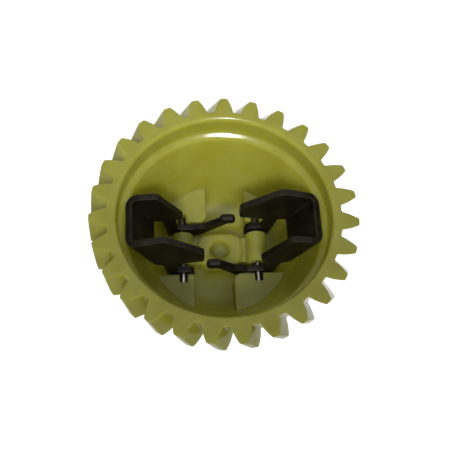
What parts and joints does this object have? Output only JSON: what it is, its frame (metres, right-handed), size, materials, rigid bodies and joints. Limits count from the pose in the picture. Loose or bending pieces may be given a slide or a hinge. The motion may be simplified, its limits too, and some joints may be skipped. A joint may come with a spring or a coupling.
{
  "type": "governor gear with flyweights",
  "caption": "Bowl-shaped helical plastic gear of a small engine's governor, with U-shaped black flyweights that swing on steel pins to push a sleeve.",
  "frame": {"origin": "on the gear's axis, on the surface that its flat back rests on", "axes": "+Z along the gear's axis, out of the open side of the bowl; +Y along the pivot pins; +X from the left flyweight to the right one"},
  "size_m": [0.0556, 0.0556, 0.0252],
  "materials": {
    "gear_plastic": "moulded, slightly translucent yellow-green, semi-gloss",
    "flyweight_metal": "black satin with worn, lighter edges",
    "pin_steel": "smooth bare steel"
  },
  "bodies": {
    "gear": {"governor_gear": "gear_plastic", "left_pivot_pin": "pin_steel", "right_pivot_pin": "pin_steel"},
    "left_flyweight": {"left_flyweight": "flyweight_metal"},
    "right_flyweight": {"right_flyweight": "flyweight_metal"}
  },
  "joints": [
    {"name": "left_swing", "type": "hinge", "parent": "gear", "child": "left_flyweight", "pos_m": [-0.0084, 0, 0.0056], "axis": [0, 1, 0], "range_deg": [0, 14]},
    {"name": "right_swing", "type": "hinge", "parent": "gear", "child": "right_flyweight", "pos_m": [0.0084, 0, 0.0056], "axis": [0, -1, 0], "range_deg": [0, 14]}
  ]
}
